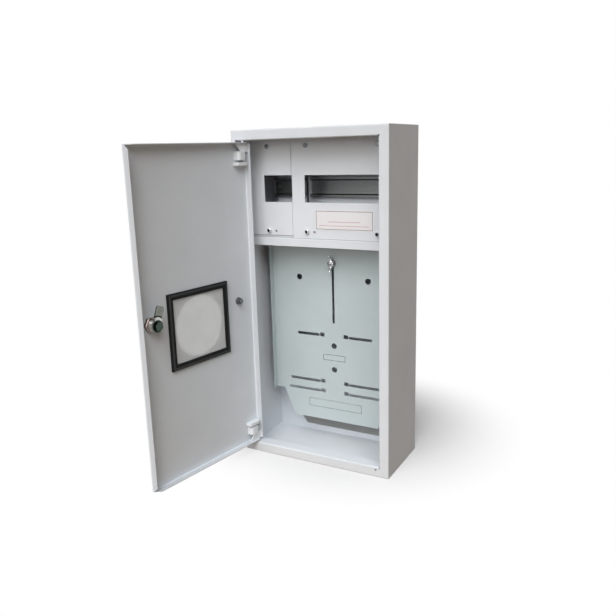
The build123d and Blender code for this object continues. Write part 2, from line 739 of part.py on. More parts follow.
# Wing nut, wings upright
nut_y = spring_y - spring_t - bolt_play
nut_front = nut_y - nut_hub_t
cone = Rot(90, 0, 0) * Cone(nut_hub_r, nut_hub_r - nut_taper, nut_hub_t)
hub = Pos(0, (nut_y + nut_front) / 2, bolt_z) * cone
wings = hub
for side in (-1, 1):
    root = bolt_z + side * (nut_hub_r - wing_inset)
    tip = bolt_z + side * wing_span / 2
    z0 = min(root, tip)
    z1 = max(root, tip)
    blade = block(-wing_t / 2, wing_t / 2, nut_front - wing_rise, nut_y - wing_inset, z0, z1)
    corners = blade.edges().filter_by(Axis.X).filter_by_position(Axis.Z, tip - 0.1, tip + 0.1)
    wings = wings + fillet(corners, wing_round)
wing_nut = wings - rod_y(bolt_r + nut_fit, 0, bolt_z, nut_front - wing_rise, nut_y + 1)
export_step(wing_nut, "parts/wing_nut.step")
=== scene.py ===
# %% [markdown]
# # Electric meter box
# A wall box of folded sheet steel stands open: the door shows its inside, with a round window
# in a rubber frame and a cam lock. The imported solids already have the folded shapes, so this
# lesson loads them as a fixed frame, adds the few things that are too fine for the solids, and
# gives every piece the finish of its real material.

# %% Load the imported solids
import bpy
import json
import math
from mathutils import Matrix, Vector


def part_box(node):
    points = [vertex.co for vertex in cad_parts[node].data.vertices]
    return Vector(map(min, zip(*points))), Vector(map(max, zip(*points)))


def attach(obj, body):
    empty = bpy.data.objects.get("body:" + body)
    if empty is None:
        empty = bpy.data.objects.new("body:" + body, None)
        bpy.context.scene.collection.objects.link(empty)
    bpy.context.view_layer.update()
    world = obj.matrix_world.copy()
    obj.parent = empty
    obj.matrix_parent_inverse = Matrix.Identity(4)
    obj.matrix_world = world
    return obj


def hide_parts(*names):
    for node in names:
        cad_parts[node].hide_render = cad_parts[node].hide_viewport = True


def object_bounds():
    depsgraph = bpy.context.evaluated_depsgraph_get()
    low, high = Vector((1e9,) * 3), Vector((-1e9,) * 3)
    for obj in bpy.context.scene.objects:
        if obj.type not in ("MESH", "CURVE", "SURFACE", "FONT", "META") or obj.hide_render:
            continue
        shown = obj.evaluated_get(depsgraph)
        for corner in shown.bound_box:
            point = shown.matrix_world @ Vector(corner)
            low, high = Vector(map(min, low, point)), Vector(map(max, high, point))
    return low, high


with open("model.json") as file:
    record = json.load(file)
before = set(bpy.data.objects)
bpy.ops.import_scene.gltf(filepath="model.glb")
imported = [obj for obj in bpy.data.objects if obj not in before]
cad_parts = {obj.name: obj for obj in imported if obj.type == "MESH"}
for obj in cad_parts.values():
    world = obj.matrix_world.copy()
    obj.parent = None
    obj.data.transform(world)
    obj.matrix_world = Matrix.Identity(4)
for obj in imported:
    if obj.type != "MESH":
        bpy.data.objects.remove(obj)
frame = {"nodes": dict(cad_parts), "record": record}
cad_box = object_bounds()
nodes = frame["nodes"]
bpy.ops.object.select_all(action="DESELECT")
print("solids:", len(nodes), "box:", cad_box)

# %% [markdown]
# ## The camera
# The photograph was taken from the right, a little below the top edge of the box and tilted
# down. The camera could be placed by eye, but the place and the angles below were worked out
# from the straight edges of the box, so the render lines up with the photograph. The lens is a
# plain one with no depth of field.

# %% Camera
camera_place = Vector((0.52026, -1.08268, 0.25599))
turn_left = math.radians(28.802)
tilt_down = math.radians(13.53)
roll = math.radians(-1.59)
focal_pixels = 660.28
image_pixels = 616
sensor_mm = 36
bpy.ops.object.camera_add()
camera = bpy.context.object
camera.name = "camera"
turned = Matrix.Rotation(turn_left, 4, "Z") @ Matrix.Rotation(math.pi / 2 - tilt_down, 4, "X")
camera.matrix_world = Matrix.Translation(camera_place) @ turned @ Matrix.Rotation(roll, 4, "Z")
camera.data.sensor_width = sensor_mm
camera.data.lens = sensor_mm * focal_pixels / image_pixels
camera.data.clip_end = 50
bpy.context.scene.camera = camera
bpy.context.scene.view_settings.view_transform = "Standard"
print("lens in mm:", round(camera.data.lens, 2))

# %% [markdown]
# ## Colours and nodes
# Colours are noted as the sRGB hex values that a paint card would give. Blender works with
# linear light, so one function turns them round. A second small function adds a shader node,
# sets its values and links its inputs; every material below is built with these two.

# %% Colour and node helpers
def srgb(code):
    parts = [int(code[i:i + 2], 16) / 255 for i in (1, 3, 5)]
    linear = [p / 12.92 if p <= 0.04045 else ((p + 0.055) / 1.055) ** 2.4 for p in parts]
    return (*linear, 1.0)


def add(tree, kind, settings=None, values=None, links=None):
    node = tree.nodes.new(kind)
    for key, value in (settings or {}).items():
        setattr(node, key, value)
    for key, value in (values or {}).items():
        node.inputs[key].default_value = value
    for key, socket in (links or {}).items():
        tree.links.new(socket, node.inputs[key])
    return node


print("mid grey in linear light:", [round(part, 3) for part in srgb("#808080")])

# %% [markdown]
# ## Floor and background
# The box stands on plain pale paper. Close to the box the paper is lit like any surface, so it
# keeps the shadow. Farther out it fades to pure white for the rays that come from the camera,
# a mirror or glass, as on a paper sweep that runs up behind. Rays that carry light to the box
# meet a warm grey instead, as from a room's floor, so the right side of the box stays as dark
# and as warm as in the photograph. A white lamp on the paper would do it too, but it would also
# light the box.

# %% Floor
floor_size = 30
bpy.ops.mesh.primitive_plane_add(size=floor_size, location=(0, 0, cad_box[0][2]))
floor = bpy.context.object
floor.name = "floor"
print("floor at height:", round(cad_box[0][2], 3))

# %% Paper for the rays that are seen
def new_material(name):
    material = bpy.data.materials.new(name)
    material.use_nodes = True
    tree = material.node_tree
    shader = tree.nodes["Principled BSDF"]
    place = add(tree, "ShaderNodeTexCoord").outputs["Object"]
    return material, tree, shader, place


def seen_rays(tree):
    path = add(tree, "ShaderNodeLightPath").outputs
    seen = path["Is Camera Ray"]
    for ray in ("Is Glossy Ray", "Is Transmission Ray"):
        seen = add(tree, "ShaderNodeMath", {"operation": "MAXIMUM"},
                   links={0: seen, 1: path[ray]}).outputs[0]
    return seen


# Matt studio paper: no shine at all, only tone and shadow.
paper, tree, shader, place = new_material("white_studio_paper")
shader.inputs["Roughness"].default_value = 1.0
shader.inputs["Specular IOR Level"].default_value = 0.0
seen = seen_rays(tree)
room_tone, paper_tone = srgb("#8D775C"), srgb("#DEDEDE")
tone = add(tree, "ShaderNodeMix", {"data_type": "RGBA"}, {6: room_tone, 7: paper_tone}, {0: seen})
tree.links.new(tone.outputs[2], shader.inputs["Base Color"])
print("nodes of the paper so far:", len(tree.nodes))

# %% Fade to white
shade_middle = (0, 0.06, 0)
shade_starts_to_fade, shade_gone = 0.075, 0.34
away = add(tree, "ShaderNodeVectorMath", {"operation": "DISTANCE"}, {1: shade_middle}, {0: place})
fade = add(tree, "ShaderNodeMapRange", {"interpolation_type": "SMOOTHSTEP"},
           {"From Min": shade_starts_to_fade, "From Max": shade_gone},
           {"Value": away.outputs["Value"]})
white = add(tree, "ShaderNodeEmission", values={"Strength": 1.0})
share = add(tree, "ShaderNodeMath", {"operation": "MULTIPLY"}, links={0: seen, 1: fade.outputs[0]})
sweep = add(tree, "ShaderNodeMixShader",
            links={0: share.outputs[0], 1: shader.outputs[0], 2: white.outputs[0]})
tree.links.new(sweep.outputs[0], tree.nodes["Material Output"].inputs["Surface"])
floor.data.materials.append(paper)
print("paper fades to white over", shade_starts_to_fade, "to", shade_gone, "m")

# %% [markdown]
# ## Sky
# In a studio a white wall stands behind the paper. A wall would be one more piece to light, so
# the world's colour stands for it: white where it is seen, and only a faint even light on the
# box, because the lamps give the rest.

# %% Sky
sky_light = 0.05
world = bpy.data.worlds.new("white_studio")
bpy.context.scene.world = world
world.use_nodes = True
tree = world.node_tree
sky = tree.nodes["Background"]
sky.inputs["Color"].default_value = srgb("#FFFFFF")
level = add(tree, "ShaderNodeMapRange", values={"To Min": sky_light, "To Max": 1.0},
            links={"Value": seen_rays(tree)})
tree.links.new(level.outputs[0], sky.inputs["Strength"])
print("sky:", world.name, "light on the box:", sky_light)

# %% [markdown]
# ## Lamps
# Suns with a wide disc act as large soft boxes and need no distance. Three from the front, at
# different heights, give the fall of light down the covers. One from the right lights the
# inside of the door and the floor of the box. Two low ones, with smaller discs, graze the paper
# and show the back, the left side and the outside of the door, and leave the front as it is.

# %% Lamps
def soft_box(name, from_right, height, strength, disc=40):
    turn = math.radians(from_right)
    rise = math.radians(height)
    aside, ahead = math.sin(turn) * math.cos(rise), -math.cos(turn) * math.cos(rise)
    towards = Vector((aside, ahead, math.sin(rise)))
    bpy.ops.object.light_add(type="SUN", location=2 * towards)
    lamp = bpy.context.object
    lamp.name = name
    lamp.data.angle = math.radians(disc)
    lamp.data.energy = math.pi * strength
    lamp.rotation_euler = towards.to_track_quat("Z", "Y").to_euler()


soft_box("low_front_lamp", from_right=0, height=15, strength=0.31)
soft_box("front_lamp", from_right=0, height=45, strength=0.27)
soft_box("high_front_lamp", from_right=0, height=60, strength=0.15)
soft_box("right_lamp", from_right=35, height=45, strength=0.43)
soft_box("back_lamp", from_right=-172, height=1.5, strength=0.45, disc=6)
soft_box("left_back_lamp", from_right=-100, height=2, strength=0.42, disc=12)

# %% [markdown]
# ## Powder coat
# The sheet steel is sprayed with light grey polyester powder and baked. The film keeps a fine
# orange peel, about a millimetre from crest to crest, which breaks up the reflections. It could
# be modelled, but it is far finer than a pixel, so it is drawn with a noise bump, and a faint
# wide mottling stands for the uneven film thickness. The door's coat is drawn a touch paler,
# which is painted light on its inside face, and the meter panel's a little darker and cooler.

# %% A mottled colour and an uneven gloss
tone_stops = (0.3, 0.7)
relief_depth = 0.0002


def mottle(tree, shader, place, size_mm, detail, dark, light):
    cloud = add(tree, "ShaderNodeTexNoise", values={"Scale": 1000 / size_mm, "Detail": detail},
                links={"Vector": place}).outputs["Fac"]
    ramp = add(tree, "ShaderNodeValToRGB", links={"Fac": cloud})
    for number, tone in enumerate((dark, light)):
        ramp.color_ramp.elements[number].position = tone_stops[number]
        ramp.color_ramp.elements[number].color = srgb(tone)
    tree.links.new(ramp.outputs[0], shader.inputs["Base Color"])
    return cloud


def roughen(tree, shader, height, smooth, rough, relief=0):
    gloss = add(tree, "ShaderNodeMapRange", values={"To Min": smooth, "To Max": rough},
                links={"Value": height})
    tree.links.new(gloss.outputs[0], shader.inputs["Roughness"])
    if relief:
        bump = add(tree, "ShaderNodeBump", values={"Strength": relief, "Distance": relief_depth},
                   links={"Height": height})
        tree.links.new(bump.outputs[0], shader.inputs["Normal"])


print("tones meet between", tone_stops, "of the noise; relief in mm:", 1000 * relief_depth)

# %% Powder coat
film_patch_mm = 71.4
peel_mm = 1.11
coat_tones = ("#DADEE3", "#DFE3E8")


def powder_coat(name, dark, light):
    # A baked polyester film: semi-matt, IOR near 1.5, with a soft sheen broken by the peel.
    material, tree, shader, place = new_material(name)
    mottle(tree, shader, place, film_patch_mm, 3.0, dark, light)
    peel = add(tree, "ShaderNodeTexNoise", values={"Scale": 1000 / peel_mm, "Detail": 2.0},
               links={"Vector": place}).outputs["Fac"]
    roughen(tree, shader, peel, smooth=0.55, rough=0.68, relief=0.12)
    shader.inputs["IOR"].default_value = 1.5
    shader.inputs["Specular IOR Level"].default_value = 0.1
    return material


coat = powder_coat("light_grey_powder_coat", *coat_tones)
# painted light: the door's coat is paler than the box's, standing in for light on its inside
door_coat_painted_light_and_shade = powder_coat("pale_grey_powder_coat_painted_light_and_shade", "#DEE4EA", "#E4E9EF")
panel_coat = powder_coat("cool_grey_powder_coat", "#BCC7C9", "#C1CCCE")
print("coats:", coat.name, door_coat_painted_light_and_shade.name, panel_coat.name)

# %% [markdown]
# ## Metals
# The cover screws and the earth stud are plain zinc plate that has gone dull, and the rails are
# rolled from galvanised strip, drawn dark grey as painted shade. The hanger with its wing nut is
# newer and brighter, with painted glints. The lock is die-cast and bright plated; its nut carries
# painted dark reddish reflections, its cam is plated strip steel whose greenish grey is painted
# shade and reflection, and the wide washer that holds the cam is drawn in a painted dark green
# reflection. Each could have a pattern of its own, but at this distance a full metal with a cloud
# of two tones, from two to five millimetres wide, tells them apart.

# %% Metals
def metal(name, dark, light, smooth, rough, cloud_mm):
    material, tree, shader, place = new_material(name)
    shader.inputs["Metallic"].default_value = 1.0
    cloud = mottle(tree, shader, place, cloud_mm, 4.0, dark, light)
    roughen(tree, shader, cloud, smooth, rough)
    return material


# Old zinc plate: an even mid grey with a blurred shine.
dull_zinc = metal("dull_zinc_plate", "#6E7071", "#8A8C8D", 0.3, 0.45, 2.5)
# New zinc plate with painted glints: near black beside near white.
bright_zinc_painted_glints = metal("bright_zinc_plate_painted_glints", "#3A3D3F", "#FFFFFF", 0.12, 0.3, 3.85)
# Zinc-plated screw heads: pale, with a soft shine.
screw_zinc = metal("bright_zinc_screw", "#C4C7C9", "#E6E8EA", 0.22, 0.36, 2.5)
# Galvanised strip, drawn dark grey as painted shade, with a satin shine along the bends.
rail_zinc_painted_shade = metal("galvanised_strip_steel_painted_shade", "#5A5C5C", "#6A6C6C", 0.3, 0.42, 2.0)
# Plated casting: a bright warm grey that mirrors its surroundings.
bright = metal("bright_plated_zinc_casting", "#AFADA8", "#CFCCC6", 0.1, 0.22, 4.0)
# Plated steel with painted reflections: brown-red patches between bright ones, sharp reflections.
nut_painted_reflections = metal("plated_steel_painted_reflections", "#3A2523", "#A79C97", 0.1, 0.2, 5.26)
# Plated strip: a flat greenish grey, painted shade and reflection.
cam_metal_painted_light_and_shade = metal("plated_strip_steel_painted_light_and_shade", "#777A73", "#8F928A", 0.3, 0.45, 3.33)
# Painted dark reflection: nearly black, with a green cast in the light.
washer_painted_dark_reflection = metal("steel_painted_dark_green_reflection", "#1E2620", "#333D35", 0.22, 0.38, 3.33)
print("metals:", [m.name for m in bpy.data.materials if "steel" in m.name or "zinc" in m.name])

# %% [markdown]
# ## Shade in the sealing screws
# The sealing screws are plated bright, and their cross recesses lie in shade. The recess could
# be cut, but it is narrower than a pixel, so its shade is painted as a dark round spot twice as
# wide. The spot is where the distance to the nearest screw's axis is small, and its colour is
# laid over the metal's own.

# %% A mark on a finish
def on_piece(material):
    tree = material.node_tree
    return tree, tree.nodes["Texture Coordinate"].outputs["Object"]


def mark(material, colour, mask):
    tree = material.node_tree
    base = tree.nodes["Principled BSDF"].inputs["Base Color"]
    laid = add(tree, "ShaderNodeMix", {"data_type": "RGBA"}, {7: srgb(colour)},
               {0: mask, 6: base.links[0].from_socket})
    tree.links.new(laid.outputs[2], base)


def mark_from(material, colour, distance, start, full):
    mask = add(material.node_tree, "ShaderNodeMapRange", {"interpolation_type": "SMOOTHSTEP"},
               {"From Min": start, "From Max": full}, {"Value": distance})
    mark(material, colour, mask.outputs[0])


print("finishes so far:", len(bpy.data.materials))

# %% Painted shade in the sealing screws
def nearest(material, across, points):
    tree, place = on_piece(material)
    flat = add(tree, "ShaderNodeVectorMath", {"operation": "MULTIPLY"}, {1: across}, {0: place})
    shortest = None
    for point in points:
        gap = add(tree, "ShaderNodeVectorMath", {"operation": "DISTANCE"}, {1: point},
                  {0: flat.outputs[0]}).outputs["Value"]
        if shortest:
            gap = add(tree, "ShaderNodeMath", {"operation": "MINIMUM"},
                      links={0: shortest, 1: gap}).outputs[0]
        shortest = gap
    return shortest


seal_screw_row = sum(corner.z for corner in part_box("seal_screws")) / 2
seal_screws = [(x, 0, seal_screw_row) for x in (-0.100, -0.024, 0.106)]
# painted shade: a dark round spot about each sealing screw's axis
shade_spot_edge, shade_spot_full = 0.0031, 0.0023
mark_from(screw_zinc, "#1C1D1E", nearest(screw_zinc, (1, 0, 1), seal_screws), shade_spot_edge, shade_spot_full)
print("dust in", len(seal_screws), "screws at height", round(seal_screw_row, 4))

# %% [markdown]
# ## Painted light and shade on the lock and the door
# Round the lock, up to the crank, the cam carries a painted highlight, and a painted shadow line
# sits in the crank. The end face of the cam's nut is drawn a paler green, so it stands out from
# the dark washer. The lips of the door carry a little painted shade. All of these follow from how
# far a point is from the lock's axis, or along it, so they are marks of the same kind.

# %% Painted highlight and shadow on the cam
joints = {joint["name"]: joint for joint in frame["record"]["behaviour"]["joints"]}
lock_middle = Vector(joints["lock_turn"]["pos_m"])
inward = Vector(joints["lock_turn"]["axis"])
crank_shadow_edge, crank_shadow_full = 0.0166, 0.0158
cam_highlight_edge, cam_highlight_full = 0.0144, 0.0136


def from_lock(material):
    tree, place = on_piece(material)
    offset = add(tree, "ShaderNodeVectorMath", {"operation": "SUBTRACT"}, {1: lock_middle},
                 {0: place})
    return tree, offset.outputs[0]


tree, offset = from_lock(cam_metal_painted_light_and_shade)
crossed = add(tree, "ShaderNodeVectorMath", {"operation": "CROSS_PRODUCT"}, {1: inward},
              {0: offset})
reach = add(tree, "ShaderNodeVectorMath", {"operation": "LENGTH"},
            links={0: crossed.outputs[0]}).outputs["Value"]
# painted shadow: a dark line in the cam's crank
mark_from(cam_metal_painted_light_and_shade, "#242723", reach, crank_shadow_edge, crank_shadow_full)
# painted highlight: the cam round the lock, up to the crank
mark_from(cam_metal_painted_light_and_shade, "#C9CBC6", reach, cam_highlight_edge, cam_highlight_full)
print("cam rubbed up to", cam_highlight_edge, "m from the lock's axis")

# %% Paler nut face and painted shade on the lips
def depths(node):
    return [(vertex.co - lock_middle).dot(inward) for vertex in nodes[node].data.vertices]


def depth_in(material):
    tree, offset = from_lock(material)
    return add(tree, "ShaderNodeVectorMath", {"operation": "DOT_PRODUCT"}, {1: inward},
               {0: offset}).outputs["Value"]


nut_end = max(depths("cam_screw"))
paler_face_start, paler_face_full = nut_end - 0.0006, nut_end - 0.0001
# the end face of the cam's nut is drawn a paler green than the washer
mark_from(washer_painted_dark_reflection, "#46544C", depth_in(washer_painted_dark_reflection), paler_face_start, paler_face_full)
door_face = min(depths("door"))
lip_shade_start, lip_shade_full = door_face + 0.002, door_face + 0.006
# painted shade: the door's lips are darkened
mark_from(door_coat_painted_light_and_shade, "#D3D7DC", depth_in(door_coat_painted_light_and_shade), lip_shade_start, lip_shade_full)
print("nut ends at", round(nut_end, 4), "and the door's face lies at", round(door_face, 4))

# %% [markdown]
# ## The painted shadow line
# Below the covers' lower edges the joint is seen as a thin dark line, which is the shadow of
# their edges. A gap in the solids would be a shade too fine, so the divider gets the same coat as
# the box with this shadow line painted on it.

# %% Painted shadow line
joint_shadow_coat = powder_coat("light_grey_powder_coat_with_painted_shadow_line", *coat_tones)
cover_boxes = [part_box(cover) for cover in ("cover_left", "cover_right")]
shadow_line_places = [(0, high[1], low[2]) for low, high in cover_boxes]
shadow_line_edge, shadow_line_full = 0.0019, 0.0011
# painted shadow: a thin dark line along the covers' lower edges
mark_from(joint_shadow_coat, "#989CA0", nearest(joint_shadow_coat, (0, 1, 1), shadow_line_places), shadow_line_edge, shadow_line_full)
print("joint at heights:", [round(line[2], 4) for line in shadow_line_places])

# %% [markdown]
# ## Plastic, rubber and the pane
# The hinge pieces are moulded in white polyamide, with the faint matt grain of a spark-eroded
# mould. The window frame is black rubber, and its bead, a harder rubber, has bloomed to a greyer
# black. The pane is clear plastic that still wears its milky protective film, so it passes about a
# third of the light and hides the rest. The mould's grain is finer than a pixel, so it is drawn
# about a millimetre and a half wide.

# %% Plastic, rubber, pane
def moulded(name, dark, light, smooth, rough, grain_mm, uniform=None):
    material, tree, shader, place = new_material(name)
    grain = mottle(tree, shader, place, grain_mm, 3.0, dark, light)
    roughen(tree, shader, grain, smooth, rough, relief=0.2)
    for socket, value in (uniform or {}).items():
        shader.inputs[socket].default_value = value
    return material


# Moulded polyamide: milky white, with a soft shine.
polyamide = moulded("white_polyamide", "#E1E5E8", "#EAEEF1", 0.35, 0.5, 1.67)
# Soft rubber: deep black that throws back little light.
rubber = moulded("black_rubber", "#0E0E0E", "#1A1A1A", 0.55, 0.75, 1.43,
                 {"Specular IOR Level": 0.18})
# Bloomed rubber: a greyer black.
bead_rubber = moulded("bloomed_black_rubber", "#1A1A1A", "#262626", 0.5, 0.7, 1.43)
# Film on clear plastic: an even pale grey, smooth, with a hint of what is behind it.
pane_film = moulded("milky_film_on_clear_plastic", "#F0F2F3", "#F5F7F8", 0.12, 0.2, 16.7,
                    {"Transmission Weight": 0.36, "IOR": 1.49})
print("moulded:", polyamide.name, rubber.name, bead_rubber.name, pane_film.name)

# %% [markdown]
# ## Dress the solids
# Each solid gets the finish of its real piece. It could be copied and dressed as a new piece, but
# its shape is right as it is, so only the material in its slot changes.

# %% Dress the solids
finishes = {
    coat: ["shell", "back_plate", "cover_support", "cover_left", "cover_right", "rail_plates",
           "panel_supports"],
    door_coat_painted_light_and_shade: ["door"],
    joint_shadow_coat: ["divider"],
    panel_coat: ["meter_panel"],
    rail_zinc_painted_shade: ["rail_left", "rail_right"],
    screw_zinc: ["seal_screws"],
    dull_zinc: ["cover_screws", "rail_screws", "earth_nut", "earth_stud", "earth_washer"],
    bright_zinc_painted_glints: ["hanger_bolt", "hanger_washers", "wing_nut"],
    bright: ["lock_housing", "lock_plug"],
    nut_painted_reflections: ["lock_nut"],
    cam_metal_painted_light_and_shade: ["lock_cam"],
    washer_painted_dark_reflection: ["cam_screw"],
    polyamide: ["hinge_body_top", "hinge_body_bottom", "hinge_pin_top", "hinge_pin_bottom"],
    rubber: ["window_gasket"],
    pane_film: ["window_pane"],
}
for finish, names in finishes.items():
    for name in names:
        slots = nodes[name].data.materials
        slots.clear()
        slots.append(finish)
print("dressed:", sum(len(names) for names in finishes.values()), "of", len(nodes))

# %% [markdown]
# ## The card on the right cover
# Under the long device window the cover carries a paper card for notes, stuck on flat. A plane
# with a print would do from the front, but the real card has an edge and round corners, so the
# plane's corners are bevelled and it is extruded to a third of a millimetre.

# %% Note card
card_middle = Vector((0.0449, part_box("cover_right")[0][1], 0.1383))
card_half = (0.0535, 0.017)
card_thick = 0.0003
card_corner = 0.0015
bpy.ops.object.select_all(action="DESELECT")
bpy.ops.mesh.primitive_plane_add(size=2, location=card_middle, rotation=(math.pi / 2, 0, 0))
card = bpy.context.object
card.name = "note_card"
card.scale = (*card_half, 1)
bpy.ops.object.transform_apply(location=True, rotation=True, scale=True)
bpy.ops.object.mode_set(mode="EDIT")
bpy.ops.mesh.select_all(action="SELECT")
bpy.ops.mesh.bevel(offset=card_corner, affect="VERTICES", segments=4)
bpy.ops.mesh.extrude_region_move(TRANSFORM_OT_translate={"value": (0, -card_thick, 0)})
bpy.ops.mesh.select_all(action="SELECT")
bpy.ops.mesh.normals_make_consistent(inside=False)
bpy.ops.object.mode_set(mode="OBJECT")
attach(card, "box")
print("card faces:", len(card.data.polygons))

# %% [markdown]
# The print is a thin dark frame and two red ruled lines to write on. It could be a picture, but it
# follows from the distance to the middle of the card just as well: a line is where that distance
# is within half a line's width of a set value. The paper's fibre is finer than a pixel, and is
# drawn two thirds of a millimetre wide.

# %% Paper of the card
# Uncoated card: a matt, faintly warm white.
paper_card, tree, shader, place = new_material("printed_paper_card")
fibre_mm = 0.667
mottle(tree, shader, place, fibre_mm, 2.0, "#E2E0E2", "#E9E7E9")
shader.inputs["Roughness"].default_value = 0.6
card.data.materials.append(paper_card)
axes = add(tree, "ShaderNodeSeparateXYZ", links={0: place}).outputs
across, upward = [
    add(tree, "ShaderNodeMath", {"operation": "SUBTRACT"}, {1: middle}, {0: axis}).outputs[0]
    for axis, middle in ((axes["X"], card_middle.x), (axes["Z"], card_middle.z))]
print("card middle:", [round(side, 4) for side in card_middle])

# %% Card print
border_half = (0.0516, 0.0151)
line_half = 0.0004
rules = ((-0.0025, 0.030), (-0.0092, 0.046))  # height from the card's middle, half length
past = []
for distance, half in zip((across, upward), border_half):
    size = add(tree, "ShaderNodeMath", {"operation": "ABSOLUTE"}, links={0: distance}).outputs[0]
    past.append(add(tree, "ShaderNodeMath", {"operation": "SUBTRACT"}, {1: half},
                    {0: size}).outputs[0])
edge = add(tree, "ShaderNodeMath", {"operation": "MAXIMUM"}, links={0: past[0], 1: past[1]})
border = add(tree, "ShaderNodeMath", {"operation": "COMPARE"}, {1: 0.0, 2: line_half},
             {0: edge.outputs[0]})
mark(paper_card, "#5E4A4C", border.outputs[0])
for height, half_length in rules:
    row = add(tree, "ShaderNodeMath", {"operation": "COMPARE"}, {1: height, 2: line_half},
              {0: upward})
    stretch = add(tree, "ShaderNodeMath", {"operation": "COMPARE"}, {1: 0.0, 2: half_length},
                  {0: across})
    rule = add(tree, "ShaderNodeMath", {"operation": "MULTIPLY"},
               links={0: row.outputs[0], 1: stretch.outputs[0]})
    mark(paper_card, "#BE8386", rule.outputs[0])
print("ruled lines on the card:", len(rules))

# %% [markdown]
# ## Device rails
# The two rails behind the windows are rolled from strip, so every bend is round and carries a
# line of light or shade. The solids have sharp bends, and a bevel on a finished solid would round
# the sheet edges too. So the strip is folded as a sheet without thickness: one lip, then each
# next flat is extruded from the last edge.

# %% Take a piece and choose its edges or faces
def take(piece):
    bpy.ops.object.select_all(action="DESELECT")
    piece.select_set(True)
    bpy.context.view_layer.objects.active = piece


def choose(piece, kind, wanted):
    bpy.ops.object.mode_set(mode="EDIT")
    bpy.ops.mesh.select_mode(type=kind)
    bpy.ops.mesh.select_all(action="DESELECT")
    bpy.ops.object.mode_set(mode="OBJECT")
    for item in piece.data.edges if kind == "EDGE" else piece.data.polygons:
        item.select = wanted(item)
    bpy.ops.object.mode_set(mode="EDIT")


rail_nodes = ("rail_left", "rail_right")
for node in rail_nodes:
    low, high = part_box(node)
    print(node, "in mm:", [round(1000 * (high[i] - low[i]), 1) for i in range(3)])

# %% Fold the strip
strip_thick = 0.001
rail_lip = 0.005


def fold_strip(node):
    low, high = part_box(node)
    back_step = high[1] - low[1] - strip_thick
    channel = high[2] - low[2] - 2 * rail_lip
    lip_middle = ((low[0] + high[0]) / 2, low[1], high[2] - rail_lip / 2)
    bpy.ops.object.select_all(action="DESELECT")
    bpy.ops.mesh.primitive_plane_add(size=1, rotation=(math.pi / 2, 0, 0), location=lip_middle)
    rail = bpy.context.object
    rail.name = node + "_rolled"
    rail.scale = (high[0] - low[0], rail_lip, 1)
    bpy.ops.object.transform_apply(location=True, rotation=True, scale=True)
    below = high[2] - 0.9 * rail_lip

    def is_last(edge):
        return all(rail.data.vertices[v].co.z < below for v in edge.vertices)

    choose(rail, "EDGE", is_last)
    for fold in ((0, back_step, 0), (0, 0, -channel), (0, -back_step, 0), (0, 0, -rail_lip)):
        bpy.ops.mesh.extrude_region_move(TRANSFORM_OT_translate={"value": fold})
    bpy.ops.object.mode_set(mode="OBJECT")
    return rail


rails = {node: fold_strip(node) for node in rail_nodes}
print("flats of each rail:", [len(rail.data.polygons) for rail in rails.values()])

# %% [markdown]
# Now the four bends are bevelled, which leaves the strip's own edges sharp, and Solidify gives the
# thickness behind the front face.

# %% Round the bends
bend_round = 0.0016


def round_bends(rail, node):
    low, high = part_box(node)

    def is_bend(edge):
        start, end = [rail.data.vertices[v].co for v in edge.vertices]
        inside = all(low[2] + rail_lip / 2 < point.z < high[2] - rail_lip / 2
                     for point in (start, end))
        return inside and abs(start.x - end.x) > rail_lip

    choose(rail, "EDGE", is_bend)
    bpy.ops.mesh.bevel(offset=bend_round, segments=5, affect="EDGES")
    bpy.ops.mesh.select_all(action="SELECT")
    bpy.ops.mesh.normals_make_consistent(inside=False)
    bpy.ops.object.mode_set(mode="OBJECT")
    lip_face = max(rail.data.polygons, key=lambda face: face.center.z)
    wall = rail.modifiers.new("strip", "SOLIDIFY")
    wall.thickness = strip_thick
    wall.offset = -1 if lip_face.normal.y < 0 else 1
    bpy.ops.object.modifier_apply(modifier=wall.name)


for node, rail in rails.items():
    take(rail)
    round_bends(rail, node)
    print(rail.name, "faces with round bends:", len(rail.data.polygons))

# %% [markdown]
# The screw holes are cut last, with a drill that a Boolean takes away. The finished rails stand
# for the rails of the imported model.

# %% Drill and fit the rails
rail_hole = 0.0023
drill_long = 0.04
rail_screw_places = {"rail_left": (-0.107, -0.066), "rail_right": (0.110,)}
smooth_below = math.radians(35)


def cut_hole(piece, radius, place):
    bpy.ops.object.select_all(action="DESELECT")
    bpy.ops.mesh.primitive_cylinder_add(vertices=32, radius=radius, depth=drill_long,
                                        location=place, rotation=(math.pi / 2, 0, 0))
    drill = bpy.context.object
    hole = piece.modifiers.new("hole", "BOOLEAN")
    hole.operation = "DIFFERENCE"
    hole.solver = "EXACT"
    hole.object = drill
    take(piece)
    bpy.ops.object.modifier_apply(modifier=hole.name)
    bpy.data.objects.remove(drill)


def close_up(piece, finish):
    bpy.ops.object.mode_set(mode="EDIT")
    bpy.ops.mesh.select_all(action="SELECT")
    bpy.ops.mesh.normals_make_consistent(inside=False)
    bpy.ops.object.mode_set(mode="OBJECT")
    bpy.ops.object.shade_smooth_by_angle(angle=smooth_below)
    piece.data.materials.clear()
    piece.data.materials.append(finish)


for node, rail in rails.items():
    low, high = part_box(node)
    for x in rail_screw_places[node]:
        cut_hole(rail, rail_hole, (x, high[1], (low[2] + high[2]) / 2))
    close_up(rail, rail_zinc_painted_shade)
    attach(rail, "box")
    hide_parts(node)

# %% [markdown]
# ## Wing nut
# The wing nut on the hanger is a casting, so its wings flow out of the hub in soft curves that
# glitter. The solid has a cone with two flat blades. The casting starts from a round hub: the two
# faces at the top and the two at the bottom are pulled out twice, narrower and forward each time.
# Insets keep both ends of the hub flat.

